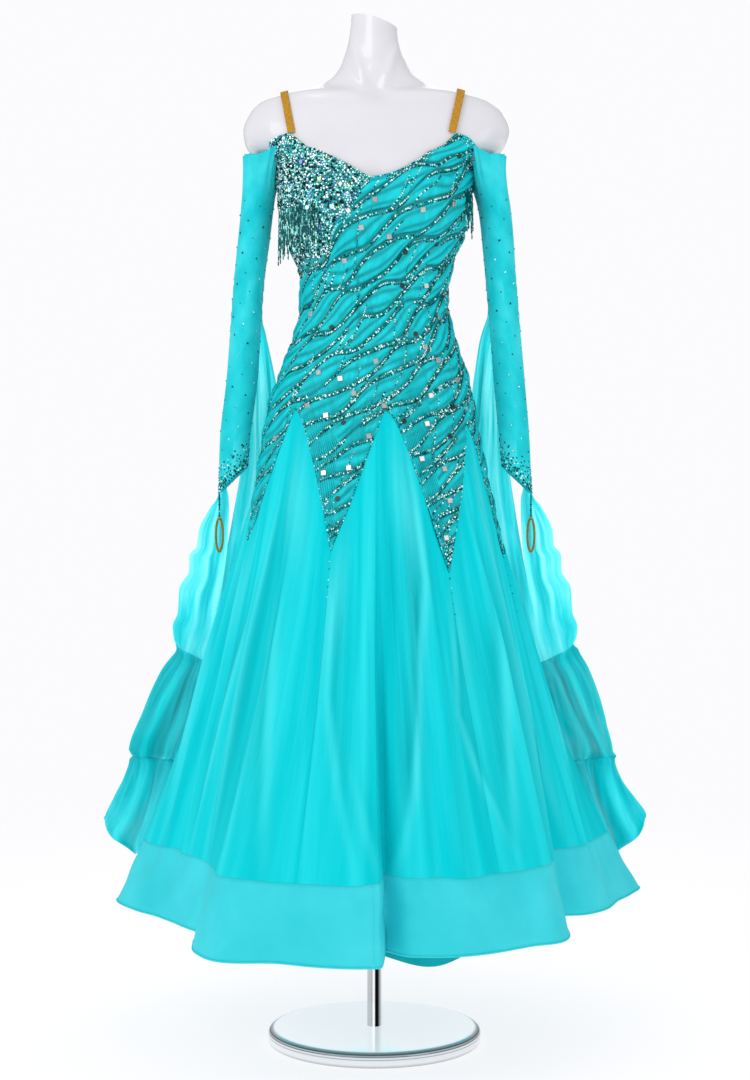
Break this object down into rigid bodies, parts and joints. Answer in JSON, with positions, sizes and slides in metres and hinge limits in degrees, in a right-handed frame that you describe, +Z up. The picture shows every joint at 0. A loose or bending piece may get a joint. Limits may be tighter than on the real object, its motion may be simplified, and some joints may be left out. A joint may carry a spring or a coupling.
{
  "type": "ballroom dance dress on a limbless dress form with stand",
  "caption": "Floor-length ballroom dance dress with crystal-trimmed draped bodice, pleated godet skirt, long sleeves and floats, on a limbless dress form with chrome pole and round base.",
  "frame": {"origin": "centre of the round base's underside, on the floor", "axes": "+Z up along the pole; the front of the dress faces -Y; +X is the wearer's left"},
  "size_m": [0.8588, 0.8909, 1.5359],
  "materials": {
    "chrome": "mirror-bright chrome plate",
    "form": "smooth gloss white",
    "drape": "ruched stretch crepe, satin sheen, sewn all over with lines of crystals",
    "stoned": "stretch crepe covered closely with crystals",
    "mesh": "fine stretch mesh with scattered crystals",
    "chiffon": "pleated chiffon over crepe, matt",
    "band": "sheer stiffened chiffon band, matt",
    "satin": "smooth satin chiffon, soft sheen",
    "lining": "plain lining, matt",
    "strap": "matt tan elastic band",
    "cord": "tan elastic cord",
    "stem": "short string of faceted beads",
    "fringe": "strung bugle and faceted beads, glossy"
  },
  "bodies": {
    "root": {"stand_base": "chrome", "stand_pole": "chrome", "form_torso": "form", "bodice_front": "drape", "bodice_back": "drape", "bodice_cup": "stoned", "strap_left": "strap", "strap_right": "strap", "sleeve_left": "mesh", "sleeve_right": "mesh", "loop_stem_left": "stem", "loop_stem_right": "stem", "finger_loop_left": "cord", "finger_loop_right": "cord", "fringe_cup": "fringe", "fringe_underarm": "fringe", "hem_band": "band", "underskirt": "lining", "float_elbow_left": "satin", "float_elbow_right": "satin", "float_wrist_left": "satin", "float_wrist_right": "satin", "float_middle_left": "satin", "float_middle_right": "satin", "float_flounce_left": "satin", "float_flounce_right": "satin", "godet_1": "chiffon", "godet_2": "chiffon", "godet_3": "chiffon", "godet_4": "chiffon", "godet_5": "chiffon", "godet_6": "chiffon", "godet_7": "chiffon"}
  },
  "joints": []
}
